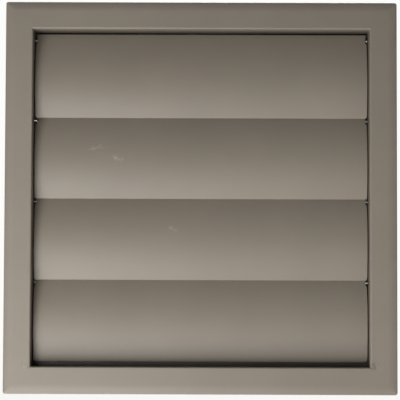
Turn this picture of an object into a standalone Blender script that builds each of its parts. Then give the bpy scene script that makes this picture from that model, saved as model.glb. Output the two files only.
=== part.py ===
"""Wall vent for a 150 mm duct: a square moulded frame, a rear plate with a round
spigot, and four gravity flaps that each swing outward on two steel pivot pins.

Metres. X runs across the face, the face looks along -Y and Z is up. The wall
plane is y = 0 and the duct axis is the Y axis.
"""

import math

import bmesh
import bpy
from mathutils import Matrix, Vector

# Front frame: an open-backed moulded channel, its face reaching past the spigot all round
FACE_OVER_SPIGOT = 0.01875
FRAME_DEPTH = 0.022
BEZEL_WIDTH = 0.0129
FRAME_WALL = 0.0020
FACE_ROLL_RADIUS = 0.0135
FACE_ROLL_DEGREES = 18
OUTER_EDGE_ROUND = 0.0006
INNER_ROUND = 0.0010
HOLLOW_ROUND = 0.0010
CORNER_RADIUS = 0.0011
INSIDE_CORNER_RADIUS = 0.0004
RIB_THICKNESS = 0.0012
RIB_REACH = 0.0080
RIBS_PER_RAIL = 4

# Flaps: arc-shaped blades, the outside of the arc to the front
FLAP_COUNT = 4
FLAP_THICKNESS = 0.0012
FLAP_ARC_RADIUS = 0.0557
CROWN_BELOW_MIDDLE = 0.002175
SKIN_BEFORE_PIN = 0.0013
FLAP_ABOVE_PIN = 0.0031
LOWER_EDGE_OVER_NEXT_PIN = 0.0010
SEAT_BEAD_THICKNESS = 0.0010
SEAT_BEAD_OVER_EDGE = 0.0012
SEAT_BEAD_END_INSET = 0.0030
FLAP_REST_GAP = 0.0004
TOP_GAP = 0.0007
BOTTOM_GAP = 0.0020
SIDE_GAP = 0.0004
CHEEK_THICKNESS = 0.0012
CHEEK_INSET = 0.0004
CHEEK_ARC_SHARE = 0.80

# Pivots: a headed steel pin through each side wall into the flap's end boss
PIN_SETBACK = 0.0131
PIN_RADIUS = 0.0007
PIN_RUNNING_GAP = 0.0002
PIN_GRIP = 0.0030
PIN_HEAD_RADIUS = 0.0016
PIN_HEAD_THICKNESS = 0.0007
PIN_HEAD_ROUND = 0.0002
PIN_TIP_CHAMFER = 0.0002
PIVOT_BOSS_RADIUS = 0.0020
PIVOT_BOSS_LENGTH = 0.0045
PIVOT_RELIEF = 0.0007
BEARING_PAD_RADIUS = 0.0026
BEARING_PAD_THICKNESS = 0.0006

# Stop rib behind the lowest flap's lower edge
STOP_RIB_THICKNESS = 0.0016
STOP_RIB_LAP = 0.0020

# Rear plate and spigot
PLATE_THICKNESS = 0.0030
SPIGOT_DIAMETER = 0.1485
SPIGOT_WALL = 0.0020
SPIGOT_LENGTH = 0.0400
SPIGOT_DRAFT = 0.0004
SPIGOT_LEAD_IN = 0.0030
SPIGOT_LEAD_IN_DROP = 0.0009
ROOT_FILLET = 0.0025
FIXING_HOLE_DIAMETER = 0.0045
FIXING_INSET = 0.0126
FIXING_PAD_RADIUS = 0.0055
FIXING_PAD_HEIGHT = 0.0008

# Corner screws that hold the rear plate to the frame
SCREW_RADIUS = 0.0013
SCREW_LENGTH = 0.0095
SCREW_TIP = 0.0012
SCREW_TIP_RADIUS = 0.0004
SCREW_HEAD_RADIUS = 0.0027
SCREW_HEAD_HEIGHT = 0.0016
SCREW_HEAD_ROUND = 0.0005
SCREW_GAP = 0.0002
RECESS_WIDTH = 0.0008
RECESS_SPAN = 0.0028
RECESS_DEPTH = 0.0009
SCREW_BOSS_RADIUS = 0.0034
PILOT_EXTRA_DEPTH = 0.0010
HEAD_POCKET_DEPTH = 0.0019

# Clearance between pieces that seat on each other
SEAT_GAP = 0.0003

# Facets
CORNER_STEPS = 3
ROUND_STEPS = 7
ROLL_STEPS = 5
ARC_STEPS = 26
EDGE_STEPS = 6
SPIGOT_SIDES = 96
SMALL_SIDES = 20
PIN_SIDES = 16
SHARP_ABOVE_DEGREES = 32

# How far one solid runs into another, or a cutter past a face, to cut cleanly
OVERRUN = 0.0010
LAP = 0.0005

# Corner points closer than this after a cut are one point
MERGE_DISTANCE = 0.000002

# Places that follow from the sizes above
SPIGOT_RADIUS = SPIGOT_DIAMETER / 2
BORE_RADIUS = SPIGOT_RADIUS - SPIGOT_WALL
HALF_FACE = SPIGOT_RADIUS + FACE_OVER_SPIGOT
HALF_OPENING = HALF_FACE - BEZEL_WIDTH
CHANNEL_MIDDLE = HALF_FACE - BEZEL_WIDTH / 2
FRONT_Y = -FRAME_DEPTH
FRONT_INSIDE_Y = FRONT_Y + FRAME_WALL
PLATE_FRONT_Y = -PLATE_THICKNESS
FRAME_SEAT_Y = PLATE_FRONT_Y - SEAT_GAP
PIN_Y = FRONT_Y + PIN_SETBACK
FIRST_PIN_Z = HALF_OPENING - TOP_GAP - FLAP_ABOVE_PIN
FLAP_PITCH = (FIRST_PIN_Z + LOWER_EDGE_OVER_NEXT_PIN + HALF_OPENING - BOTTOM_GAP) / FLAP_COUNT
FLAP_BELOW_PIN = FLAP_PITCH - LOWER_EDGE_OVER_NEXT_PIN
CROWN_BELOW_PIN = FLAP_PITCH / 2 + CROWN_BELOW_MIDDLE
FLAP_HALF_WIDTH = HALF_OPENING - SIDE_GAP
PIN_HOLE_RADIUS = PIN_RADIUS + PIN_RUNNING_GAP
MID_RADIUS = FLAP_ARC_RADIUS - FLAP_THICKNESS / 2
ARC_CENTRE = SKIN_BEFORE_PIN - math.sqrt(FLAP_ARC_RADIUS**2 - CROWN_BELOW_PIN**2)
PLATE_HALF = HALF_FACE - FRAME_WALL - SEAT_GAP

VENT_PLASTIC = (0.258, 0.227, 0.186, 1.0)
PIN_STEEL = (0.62, 0.62, 0.60, 1.0)
SCREW_STEEL = (0.48, 0.48, 0.47, 1.0)


def clear_scene():
    for thing in list(bpy.data.objects):
        bpy.data.objects.remove(thing, do_unlink=True)


def material(name, colour, roughness, metallic=0.0):
    finish = bpy.data.materials.new(name)
    finish.use_nodes = True
    shader = finish.node_tree.nodes["Principled BSDF"]
    shader.inputs["Base Color"].default_value = colour
    shader.inputs["Roughness"].default_value = roughness
    shader.inputs["Metallic"].default_value = metallic
    return finish


def mesh_from(form, name):
    """Turn a bmesh into a mesh whose faces all point outwards."""
    bmesh.ops.recalc_face_normals(form, faces=form.faces)
    mesh = bpy.data.meshes.new(name)
    form.to_mesh(mesh)
    form.free()
    return mesh


def place(name, mesh, finish, location=(0.0, 0.0, 0.0), parent=None):
    """Put a mesh in the scene as a named piece, round parts shaded smooth."""
    piece = bpy.data.objects.new(name, mesh)
    bpy.context.scene.collection.objects.link(piece)
    mesh.materials.clear()
    mesh.materials.append(finish)
    mesh.shade_smooth()
    mesh.set_sharp_from_angle(angle=math.radians(SHARP_ABOVE_DEGREES))
    piece.location = location
    piece.parent = parent
    return piece


def square_ring(half, radius, y):
    """One closed ring of points: a square with rounded corners, seen from the front."""
    ring = []
    for quarter in range(4):
        middle = quarter * math.pi / 2 + math.pi / 4
        centre_x = math.copysign(half - radius, math.cos(middle))
        centre_z = math.copysign(half - radius, math.sin(middle))
        for step in range(CORNER_STEPS + 1):
            angle = (quarter + step / CORNER_STEPS) * math.pi / 2
            x = centre_x + radius * math.cos(angle)
            z = centre_z + radius * math.sin(angle)
            ring.append(Vector((x, y, z)))
    return ring


def loft(rings):
    """Skin a closed loop of rings, each with as many points as the last."""
    form = bmesh.new()
    loops = [[form.verts.new(point) for point in ring] for ring in rings]
    for index, loop in enumerate(loops):
        after = loops[(index + 1) % len(loops)]
        for i in range(len(loop)):
            j = (i + 1) % len(loop)
            form.faces.new((loop[i], loop[j], after[j], after[i]))
    return form


def turned(profile, sides):
    """Turn a closed (radius, y) outline about the Y axis; zero radius is a pole."""
    form = bmesh.new()
    rows = []
    for radius, y in profile:
        if radius == 0.0:
            rows.append([form.verts.new((0.0, y, 0.0))])
            continue
        angles = [2 * math.pi * i / sides for i in range(sides)]
        rows.append([form.verts.new((radius * math.cos(a), y, radius * math.sin(a))) for a in angles])
    for index, row in enumerate(rows):
        after = rows[(index + 1) % len(rows)]
        if len(row) == 1 and len(after) == 1:
            continue
        for i in range(sides):
            j = (i + 1) % sides
            if len(row) == 1:
                form.faces.new((row[0], after[j], after[i]))
            elif len(after) == 1:
                form.faces.new((row[i], row[j], after[0]))
            else:
                form.faces.new((row[i], row[j], after[j], after[i]))
    return form


def rod(radius, y_start, y_end, sides, centre=(0.0, 0.0)):
    """A plain round bar along Y at an (x, z) centre."""
    form = turned(((0.0, y_start), (radius, y_start), (radius, y_end), (0.0, y_end)), sides)
    bmesh.ops.translate(form, verts=form.verts, vec=(centre[0], 0.0, centre[1]))
    return form


def cross_rod(radius, x_start, x_end, y, z, sides):
    """A plain round bar along X."""
    form = rod(radius, x_start, x_end, sides)
    turn = Matrix.Rotation(-math.pi / 2, 3, "Z")
    bmesh.ops.rotate(form, verts=form.verts, cent=(0.0, 0.0, 0.0), matrix=turn)
    bmesh.ops.translate(form, verts=form.verts, vec=(0.0, y, z))
    return form


def block(low, high):
    """A box between two corners."""
    form = bmesh.new()
    size = [high[i] - low[i] for i in range(3)]
    middle = [(high[i] + low[i]) / 2 for i in range(3)]
    bmesh.ops.create_cube(form, size=1.0, matrix=Matrix.Translation(middle) @ Matrix.Diagonal((*size, 1.0)))
    return form


def bar_across(outline, x_start, x_end):
    """Extrude a closed (forward, up) outline along X; forward is -Y."""
    form = bmesh.new()
    ends = []
    for x in (x_start, x_end):
        ends.append([form.verts.new((x, -forward, up)) for forward, up in outline])
    form.faces.new(ends[0])
    form.faces.new(ends[1])
    for i in range(len(outline)):
        j = (i + 1) % len(outline)
        form.faces.new((ends[0][i], ends[0][j], ends[1][j], ends[1][i]))
    return form


def gathered(forms):
    """Put several closed forms that don't meet into one mesh."""
    whole = bmesh.new()
    for form in forms:
        bmesh.ops.recalc_face_normals(form, faces=form.faces)
        part = bpy.data.meshes.new("part")
        form.to_mesh(part)
        form.free()
        whole.from_mesh(part)
        bpy.data.meshes.remove(part)
    return whole


def combined(mesh, form, operation):
    """Unite a mesh with a form, or cut the form out of it, and return the new mesh."""
    name = mesh.name
    body = bpy.data.objects.new("body", mesh)
    tool = bpy.data.objects.new("tool", mesh_from(form, "tool"))
    for thing in (body, tool):
        bpy.context.scene.collection.objects.link(thing)
    tool.hide_render = True
    tool.display_type = "WIRE"
    step = body.modifiers.new("step", "BOOLEAN")
    step.operation = operation
    step.solver = "EXACT"
    step.object = tool
    bpy.context.view_layer.update()
    seen = body.evaluated_get(bpy.context.evaluated_depsgraph_get())
    form = bmesh.new()
    form.from_mesh(seen.to_mesh())
    bmesh.ops.remove_doubles(form, verts=form.verts, dist=MERGE_DISTANCE)
    bmesh.ops.dissolve_degenerate(form, edges=form.edges, dist=MERGE_DISTANCE)
    for thing in (body, tool):
        bpy.data.objects.remove(thing, do_unlink=True)
    return mesh_from(form, name)


def on_circle(centre, radius, degrees):
    """The point of a circle in a plane at an angle."""
    angle = math.radians(degrees)
    return (centre[0] + radius * math.cos(angle), centre[1] + radius * math.sin(angle))


def arc(centre, radius, start, end, steps):
    """Points on an arc in a plane, angles in degrees."""
    return [on_circle(centre, radius, start + (end - start) * step / steps) for step in range(steps + 1)]


def pin_heights():
    return [FIRST_PIN_Z - index * FLAP_PITCH for index in range(FLAP_COUNT)]


def blade_forward(radius, up):
    """How far before the pin axis an arc of the blade lies at a height over the pin."""
    return ARC_CENTRE + math.sqrt(radius**2 - (up + CROWN_BELOW_PIN) ** 2)


def blade_angle(up):
    """The angle of the blade's middle line, about the arc's centre, at a height."""
    return math.degrees(math.asin((up + CROWN_BELOW_PIN) / MID_RADIUS))


def channel_section():
    """The frame's wall section as (inset from the outer edge, y), once around."""
    roll = math.radians(FACE_ROLL_DEGREES)
    edge_y = FRONT_Y + FACE_ROLL_RADIUS * (1 - math.cos(roll)) + OUTER_EDGE_ROUND * math.cos(roll)
    roll_inset = FACE_ROLL_RADIUS * math.sin(roll) + OUTER_EDGE_ROUND * (1 - math.sin(roll))
    roll_centre = (roll_inset, FRONT_Y + FACE_ROLL_RADIUS)
    inner_centre = (BEZEL_WIDTH - INNER_ROUND, FRONT_Y + INNER_ROUND)
    hollow_centre = (FRAME_WALL + HOLLOW_ROUND, FRONT_INSIDE_Y + HOLLOW_ROUND)
    section = [(0.0, 0.0)]
    section += arc((OUTER_EDGE_ROUND, edge_y), OUTER_EDGE_ROUND, 180, 270 - FACE_ROLL_DEGREES, EDGE_STEPS)
    section += arc(roll_centre, FACE_ROLL_RADIUS, 270 - FACE_ROLL_DEGREES, 270, ROLL_STEPS)[1:]
    section += arc(inner_centre, INNER_ROUND, 270, 360, ROUND_STEPS)
    section.append((BEZEL_WIDTH, FRAME_SEAT_Y))
    section.append((BEZEL_WIDTH - FRAME_WALL, FRAME_SEAT_Y))
    section.append((BEZEL_WIDTH - FRAME_WALL, FRONT_INSIDE_Y))
    section += arc(hollow_centre, HOLLOW_ROUND, 270, 180, CORNER_STEPS)
    section.append((FRAME_WALL, 0.0))
    return section


def rail_ribs():
    """Thin ribs across the hollow of each rail, clear of the pivots."""
    inside = HALF_OPENING + FRAME_WALL / 2
    outside = HALF_FACE - FRAME_WALL / 2
    back = FRONT_INSIDE_Y + RIB_REACH
    ribs = []
    for index in range(RIBS_PER_RAIL):
        along = (index + 0.5 - RIBS_PER_RAIL / 2) * 2 * HALF_OPENING / RIBS_PER_RAIL
        low, high = along - RIB_THICKNESS / 2, along + RIB_THICKNESS / 2
        for start, end in ((inside, outside), (-outside, -inside)):
            ribs.append(block((low, FRONT_INSIDE_Y - LAP, start), (high, back, end)))
    for pin_z in pin_heights():
        middle = pin_z - FLAP_PITCH / 2
        low, high = middle - RIB_THICKNESS / 2, middle + RIB_THICKNESS / 2
        for start, end in ((inside, outside), (-outside, -inside)):
            ribs.append(block((start, FRONT_INSIDE_Y - LAP, low), (end, back, high)))
    return ribs


def corner_places():
    return [(x, z) for x in (-CHANNEL_MIDDLE, CHANNEL_MIDDLE) for z in (-CHANNEL_MIDDLE, CHANNEL_MIDDLE)]


def bead_tip():
    """How far before the pin axis a closed flap's seat bead ends, just off the next flap."""
    over_next_pin = LOWER_EDGE_OVER_NEXT_PIN + SEAT_BEAD_OVER_EDGE
    return blade_forward(FLAP_ARC_RADIUS, over_next_pin) + FLAP_REST_GAP


def stop_rib():
    """The ledge on the bottom rail that the lowest flap's seat bead rests against."""
    flap_bottom = pin_heights()[-1] - FLAP_BELOW_PIN
    front = PIN_Y - bead_tip() + SEAT_GAP
    reach = HALF_OPENING + FRAME_WALL / 2
    low = (-reach, front, -reach)
    high = (reach, front + STOP_RIB_THICKNESS, flap_bottom + STOP_RIB_LAP)
    return block(low, high)


def front_frame(finish):
    rings = []
    for inset, y in channel_section():
        radius = max(CORNER_RADIUS - inset, INSIDE_CORNER_RADIUS)
        rings.append(square_ring(HALF_FACE - inset, radius, y))
    mesh = mesh_from(loft(rings), "front_frame")

    pads = []
    holes = []
    pad_end = HALF_OPENING + FRAME_WALL + BEARING_PAD_THICKNESS
    for pin_z in pin_heights():
        for side in (-1, 1):
            start, end = side * (HALF_OPENING + FRAME_WALL - LAP), side * pad_end
            pads.append(cross_rod(BEARING_PAD_RADIUS, start, end, PIN_Y, pin_z, SMALL_SIDES))
            start, end = side * (HALF_OPENING - OVERRUN), side * (pad_end + OVERRUN)
            holes.append(cross_rod(PIN_HOLE_RADIUS, start, end, PIN_Y, pin_z, PIN_SIDES))
    mesh = combined(mesh, gathered(pads), "UNION")
    mesh = combined(mesh, gathered(holes), "DIFFERENCE")

    mesh = combined(mesh, gathered(rail_ribs()), "UNION")
    mesh = combined(mesh, stop_rib(), "UNION")
    bosses = []
    for place_xz in corner_places():
        bosses.append(rod(SCREW_BOSS_RADIUS, FRONT_INSIDE_Y - LAP, FRAME_SEAT_Y, SMALL_SIDES, place_xz))
    mesh = combined(mesh, gathered(bosses), "UNION")

    pilots = []
    for place_xz in corner_places():
        tip = screw_head_y() - SCREW_LENGTH - PILOT_EXTRA_DEPTH
        pilots.append(rod(SCREW_RADIUS + SCREW_GAP, tip, FRAME_SEAT_Y + OVERRUN, SMALL_SIDES, place_xz))
    mesh = combined(mesh, gathered(pilots), "DIFFERENCE")
    return place("front_frame", mesh, finish)


def spigot_section():
    """The spigot's outside as (radius, y), from inside the plate to its end, filled in."""
    tip_radius = SPIGOT_RADIUS - SPIGOT_DRAFT
    fillet_centre = (SPIGOT_RADIUS + ROOT_FILLET, ROOT_FILLET)
    section = [(0.0, -PLATE_THICKNESS / 2), (SPIGOT_RADIUS + ROOT_FILLET, -PLATE_THICKNESS / 2)]
    section += arc(fillet_centre, ROOT_FILLET, 270, 180, EDGE_STEPS)
    section.append((tip_radius, SPIGOT_LENGTH - SPIGOT_LEAD_IN))
    section.append((tip_radius - SPIGOT_LEAD_IN_DROP, SPIGOT_LENGTH))
    section.append((0.0, SPIGOT_LENGTH))
    return section


def bore_section():
    """The bore through the plate and spigot as (radius, y), narrower towards the end."""
    front, end = PLATE_FRONT_Y - OVERRUN, SPIGOT_LENGTH + OVERRUN
    return [(0.0, front), (BORE_RADIUS, front), (BORE_RADIUS - SPIGOT_DRAFT, end), (0.0, end)]


def fixing_places():
    offset = HALF_OPENING - FIXING_INSET
    return [(x, z) for x in (-offset, offset) for z in (-offset, offset)]


def rear_spigot(finish):
    form = bmesh.new()
    for y in (PLATE_FRONT_Y, 0.0):
        ring = square_ring(PLATE_HALF, INSIDE_CORNER_RADIUS, y)
        form.faces.new([form.verts.new(point) for point in ring])
    front, back = form.faces
    front_ring, back_ring = list(front.verts), list(back.verts)
    for i in range(len(front_ring)):
        j = (i + 1) % len(front_ring)
        form.faces.new((front_ring[i], front_ring[j], back_ring[j], back_ring[i]))
    mesh = mesh_from(form, "rear_spigot")

    mesh = combined(mesh, turned(spigot_section(), SPIGOT_SIDES), "UNION")
    mesh = combined(mesh, turned(bore_section(), SPIGOT_SIDES), "DIFFERENCE")

    pad_front = PLATE_FRONT_Y - FIXING_PAD_HEIGHT
    pads = []
    holes = []
    for spot in fixing_places():
        pads.append(rod(FIXING_PAD_RADIUS, pad_front, PLATE_FRONT_Y + LAP, SMALL_SIDES, spot))
        holes.append(rod(FIXING_HOLE_DIAMETER / 2, pad_front - OVERRUN, OVERRUN, SMALL_SIDES, spot))
    for spot in corner_places():
        holes.append(rod(SCREW_RADIUS + SCREW_GAP, PLATE_FRONT_Y - OVERRUN, OVERRUN, SMALL_SIDES, spot))
    mesh = combined(mesh, gathered(pads), "UNION")
    mesh = combined(mesh, gathered(holes), "DIFFERENCE")
    pocket_radius = SCREW_HEAD_RADIUS + SCREW_GAP
    pockets = [rod(pocket_radius, -HEAD_POCKET_DEPTH, OVERRUN, SMALL_SIDES, spot) for spot in corner_places()]
    mesh = combined(mesh, gathered(pockets), "DIFFERENCE")
    return place("rear_spigot", mesh, finish)


def blade_outline():
    """The blade's section as (forward, up): a bent strip with two round edges."""
    half = FLAP_THICKNESS / 2
    top = blade_angle(FLAP_ABOVE_PIN - half)
    bottom = blade_angle(half - FLAP_BELOW_PIN)
    centre = (ARC_CENTRE, -CROWN_BELOW_PIN)
    top_centre = on_circle(centre, MID_RADIUS, top)
    bottom_centre = on_circle(centre, MID_RADIUS, bottom)
    outline = arc(centre, FLAP_ARC_RADIUS, bottom, top, ARC_STEPS)
    outline += arc(top_centre, half, top, top + 180, EDGE_STEPS)[1:-1]
    outline += arc(centre, FLAP_ARC_RADIUS - FLAP_THICKNESS, top, bottom, ARC_STEPS)
    outline += arc(bottom_centre, half, bottom + 180, bottom + 360, EDGE_STEPS)[1:-1]
    return outline


def cheek_outline():
    """The end plate's section: the hollow of the arc, closed by a straight chord."""
    top = blade_angle(0.0) * CHEEK_ARC_SHARE
    bottom = blade_angle(-FLAP_BELOW_PIN) * CHEEK_ARC_SHARE
    return arc((ARC_CENTRE, -CROWN_BELOW_PIN), MID_RADIUS, bottom, top, ARC_STEPS)


def boss_outline():
    """The pivot boss: round behind, and ending inside the blade's skin in front."""
    outline = []
    for forward, up in arc((0.0, 0.0), PIVOT_BOSS_RADIUS, 0, 360, 2 * SMALL_SIDES)[:-1]:
        outline.append((min(forward, blade_forward(MID_RADIUS, up)), up))
    return outline


def seat_bead():
    """The bead along the back of a flap's lower edge, which closes on the next flap."""
    middle = SEAT_BEAD_OVER_EDGE - FLAP_BELOW_PIN
    half = SEAT_BEAD_THICKNESS / 2
    root = blade_forward(MID_RADIUS, middle)
    reach = FLAP_HALF_WIDTH - SEAT_BEAD_END_INSET
    outline = [(root, middle - half), (root, middle + half)]
    outline += arc((bead_tip() + half, middle), half, 90, 270, EDGE_STEPS)
    return bar_across(outline, -reach, reach)


def flap_mesh():
    mesh = mesh_from(bar_across(blade_outline(), -FLAP_HALF_WIDTH, FLAP_HALF_WIDTH), "flap")
    mesh = combined(mesh, seat_bead(), "UNION")
    cheeks = []
    bosses = []
    notches = []
    holes = []
    for side in (-1, 1):
        cheek_end = FLAP_HALF_WIDTH - CHEEK_INSET
        cheeks.append(bar_across(cheek_outline(), side * (cheek_end - CHEEK_THICKNESS), side * cheek_end))
        boss_end = FLAP_HALF_WIDTH - PIVOT_RELIEF
        bosses.append(bar_across(boss_outline(), side * (boss_end - PIVOT_BOSS_LENGTH), side * boss_end))
        reach = PIVOT_BOSS_RADIUS
        low = (min(side * boss_end, side * (FLAP_HALF_WIDTH + OVERRUN)), -reach, -reach)
        high = (max(side * boss_end, side * (FLAP_HALF_WIDTH + OVERRUN)), reach, reach)
        notches.append(block(low, high))
        start, end = side * (boss_end - PIN_GRIP - SEAT_GAP), side * (boss_end + OVERRUN)
        holes.append(cross_rod(PIN_HOLE_RADIUS, start, end, 0.0, 0.0, PIN_SIDES))
    mesh = combined(mesh, gathered(cheeks), "UNION")
    mesh = combined(mesh, gathered(bosses), "UNION")
    mesh = combined(mesh, gathered(notches), "DIFFERENCE")
    mesh = combined(mesh, gathered(holes), "DIFFERENCE")
    return mesh


def pin_mesh():
    """A headed pin lying along +X, its shank towards the flap, the head outside."""
    tip = FLAP_HALF_WIDTH - PIVOT_RELIEF - PIN_GRIP
    head = HALF_OPENING + FRAME_WALL + BEARING_PAD_THICKNESS + SEAT_GAP
    end = head + PIN_HEAD_THICKNESS
    section = [
        (0.0, tip),
        (PIN_RADIUS - PIN_TIP_CHAMFER, tip),
        (PIN_RADIUS, tip + PIN_TIP_CHAMFER),
        (PIN_RADIUS, head),
        (PIN_HEAD_RADIUS, head),
        (PIN_HEAD_RADIUS, end - PIN_HEAD_ROUND),
        (PIN_HEAD_RADIUS - PIN_HEAD_ROUND, end),
        (0.0, end),
    ]
    form = turned(section, PIN_SIDES)
    turn = Matrix.Rotation(-math.pi / 2, 3, "Z")
    bmesh.ops.rotate(form, verts=form.verts, cent=(0.0, 0.0, 0.0), matrix=turn)
    return mesh_from(form, "pivot_pin")


def flaps_on_pins(plastic, steel):
    flap = flap_mesh()
    pin = pin_mesh()
    for index, pin_z in enumerate(pin_heights()):
        number = index + 1
        hung = place(f"flap_{number}", flap, plastic, (0.0, PIN_Y, pin_z))
        place(f"pivot_pin_{number}_right", pin, steel, parent=hung)
        left = place(f"pivot_pin_{number}_left", pin, steel, parent=hung)
        left.rotation_euler = (0.0, 0.0, math.pi)


def screw_head_y():
    """The plane under the screw heads, at the bottom of their pockets."""
    return SEAT_GAP - HEAD_POCKET_DEPTH


def corner_screw_mesh():
    """A round-headed self-tapping screw along -Y, its head plane at y = 0."""
    top = SCREW_HEAD_HEIGHT - SCREW_HEAD_ROUND
    round_centre = (SCREW_HEAD_RADIUS - SCREW_HEAD_ROUND, top)
    section = [(0.0, -SCREW_LENGTH), (SCREW_TIP_RADIUS, -SCREW_LENGTH)]
    section.append((SCREW_RADIUS, SCREW_TIP - SCREW_LENGTH))
    section += [(SCREW_RADIUS, 0.0), (SCREW_HEAD_RADIUS, 0.0)]
    section += arc(round_centre, SCREW_HEAD_ROUND, 0, 90, EDGE_STEPS // 2)
    section.append((0.0, SCREW_HEAD_HEIGHT))
    mesh = mesh_from(turned(section, SMALL_SIDES), "corner_screw")
    bottom, over = SCREW_HEAD_HEIGHT - RECESS_DEPTH, SCREW_HEAD_HEIGHT + OVERRUN
    long, short = RECESS_SPAN / 2, RECESS_WIDTH / 2
    for x, z in ((long, short), (short, long)):
        mesh = combined(mesh, block((-x, bottom, -z), (x, over, z)), "DIFFERENCE")
    return mesh


def corner_screws(finish):
    mesh = corner_screw_mesh()
    for x, z in corner_places():
        name = "corner_screw_" + ("top" if z > 0 else "bottom") + ("_right" if x > 0 else "_left")
        place(name, mesh, finish, (x, screw_head_y(), z))


def main():
    clear_scene()
    plastic = material("vent_plastic", VENT_PLASTIC, 0.48)
    flap_plastic = material("flap_plastic", VENT_PLASTIC, 0.46)
    steel = material("pin_steel", PIN_STEEL, 0.30, 1.0)
    screw_steel = material("screw_steel", SCREW_STEEL, 0.38, 1.0)
    front_frame(plastic)
    rear_spigot(plastic)
    flaps_on_pins(flap_plastic, steel)
    corner_screws(screw_steel)


main()
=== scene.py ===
import math

import bmesh
import bpy
from mathutils import Euler, Matrix, Vector


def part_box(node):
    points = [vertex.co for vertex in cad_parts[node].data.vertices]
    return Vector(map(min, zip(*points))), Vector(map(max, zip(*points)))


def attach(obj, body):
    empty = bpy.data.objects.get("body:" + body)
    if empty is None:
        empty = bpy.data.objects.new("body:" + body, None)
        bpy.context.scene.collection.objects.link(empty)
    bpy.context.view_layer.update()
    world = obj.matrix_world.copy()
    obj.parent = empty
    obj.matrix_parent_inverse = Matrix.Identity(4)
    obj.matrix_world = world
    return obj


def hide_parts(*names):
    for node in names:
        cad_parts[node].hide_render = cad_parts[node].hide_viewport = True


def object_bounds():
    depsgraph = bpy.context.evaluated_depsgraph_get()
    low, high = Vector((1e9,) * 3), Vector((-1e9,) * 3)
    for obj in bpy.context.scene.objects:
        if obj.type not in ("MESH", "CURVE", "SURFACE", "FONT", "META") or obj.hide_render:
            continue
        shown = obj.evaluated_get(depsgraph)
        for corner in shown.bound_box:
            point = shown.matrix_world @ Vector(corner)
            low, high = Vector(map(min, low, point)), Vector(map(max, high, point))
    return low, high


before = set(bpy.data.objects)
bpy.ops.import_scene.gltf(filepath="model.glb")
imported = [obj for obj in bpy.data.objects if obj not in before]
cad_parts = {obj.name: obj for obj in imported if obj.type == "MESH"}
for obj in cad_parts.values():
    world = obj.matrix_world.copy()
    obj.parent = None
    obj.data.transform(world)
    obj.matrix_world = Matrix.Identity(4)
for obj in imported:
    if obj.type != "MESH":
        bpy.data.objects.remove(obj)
cad_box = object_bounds()


# Front frame: one injection-moulded square of UV-stable PVC, with a bezel rolled over at
# its outer and inner edges, the walls of the opening, and ribs and screw bosses in its
# hollow back. It seats on the rear plate and carries the flaps' pins.

frame_low, frame_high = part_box("front_frame")
HALF_FACE = frame_high[0]
FACE_Y = frame_low[1]
BEZEL_WIDTH = 0.0129
WALL = 0.0020
FACE_ROLL_RADIUS = 0.0135
FACE_ROLL = math.radians(18)
OUTER_EDGE_ROUND = 0.0006
INNER_ROUND = 0.0007
HOLLOW_ROUND = 0.0010
OUTER_CORNER = 0.0011
INNER_CORNER = 0.0004
BACK_EDGE_ROUND = 0.0003
ROUND_STEPS = 14
CORNER_STEPS = 6
BOSS_SIDES = 40
PIN_HOLE_SIDES = 32
SEAT_Y = -0.0033
HALF_OPENING = HALF_FACE - BEZEL_WIDTH
CHANNEL_MIDDLE = HALF_FACE - BEZEL_WIDTH / 2

RIB_THICKNESS = 0.0012
RIB_REACH = 0.0080
RIBS_PER_RAIL = 4
BOSS_RADIUS = 0.0034
PILOT_RADIUS = 0.0015
PILOT_TIP_Y = -0.0121

PIN_Y = -0.0089
PIN_HEIGHTS = [0.0763, 0.03745, -0.0014, -0.04025]
PIN_HOLE_RADIUS = 0.0009
PAD_RADIUS = 0.0026
PAD_END = 0.0827

STOP_RIB_FRONT_Y = -0.0093
STOP_RIB_THICKNESS = 0.0016
STOP_RIB_TOP = -0.0761

LAP = 0.0005
OVERRUN = 0.0010
MERGE_DISTANCE = 0.000002
SHARP_ABOVE = math.radians(34)


def mesh_from(form, name):
    """A mesh from a bmesh whose faces all point outwards."""
    bmesh.ops.recalc_face_normals(form, faces=form.faces)
    mesh = bpy.data.meshes.new(name)
    form.to_mesh(mesh)
    form.free()
    return mesh


def square_ring(half, radius, y):
    """A ring of points: a square with rounded corners, seen from the front."""
    ring = []
    for quarter in range(4):
        middle = quarter * math.pi / 2 + math.pi / 4
        centre_x = math.copysign(half - radius, math.cos(middle))
        centre_z = math.copysign(half - radius, math.sin(middle))
        for step in range(CORNER_STEPS + 1):
            angle = (quarter + step / CORNER_STEPS) * math.pi / 2
            ring.append((centre_x + radius * math.cos(angle), y, centre_z + radius * math.sin(angle)))
    return ring


def loft(rings):
    """Skin a closed loop of rings, each with as many points as the last."""
    form = bmesh.new()
    loops = [[form.verts.new(point) for point in ring] for ring in rings]
    for index, loop in enumerate(loops):
        after = loops[(index + 1) % len(loops)]
        for i in range(len(loop)):
            j = (i + 1) % len(loop)
            form.faces.new((loop[i], loop[j], after[j], after[i]))
    return form


def turned(section, sides):
    """Turn a closed (radius, y) outline about the Y axis; zero radius is a pole."""
    form = bmesh.new()
    rows = []
    for radius, y in section:
        if radius == 0.0:
            rows.append([form.verts.new((0.0, y, 0.0))])
            continue
        angles = [2 * math.pi * i / sides for i in range(sides)]
        rows.append([form.verts.new((radius * math.cos(a), y, radius * math.sin(a))) for a in angles])
    for index, row in enumerate(rows):
        after = rows[(index + 1) % len(rows)]
        if len(row) == 1 and len(after) == 1:
            continue
        for i in range(sides):
            j = (i + 1) % sides
            if len(row) == 1:
                form.faces.new((row[0], after[j], after[i]))
            elif len(after) == 1:
                form.faces.new((row[i], row[j], after[0]))
            else:
                form.faces.new((row[i], row[j], after[j], after[i]))
    return form


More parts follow.
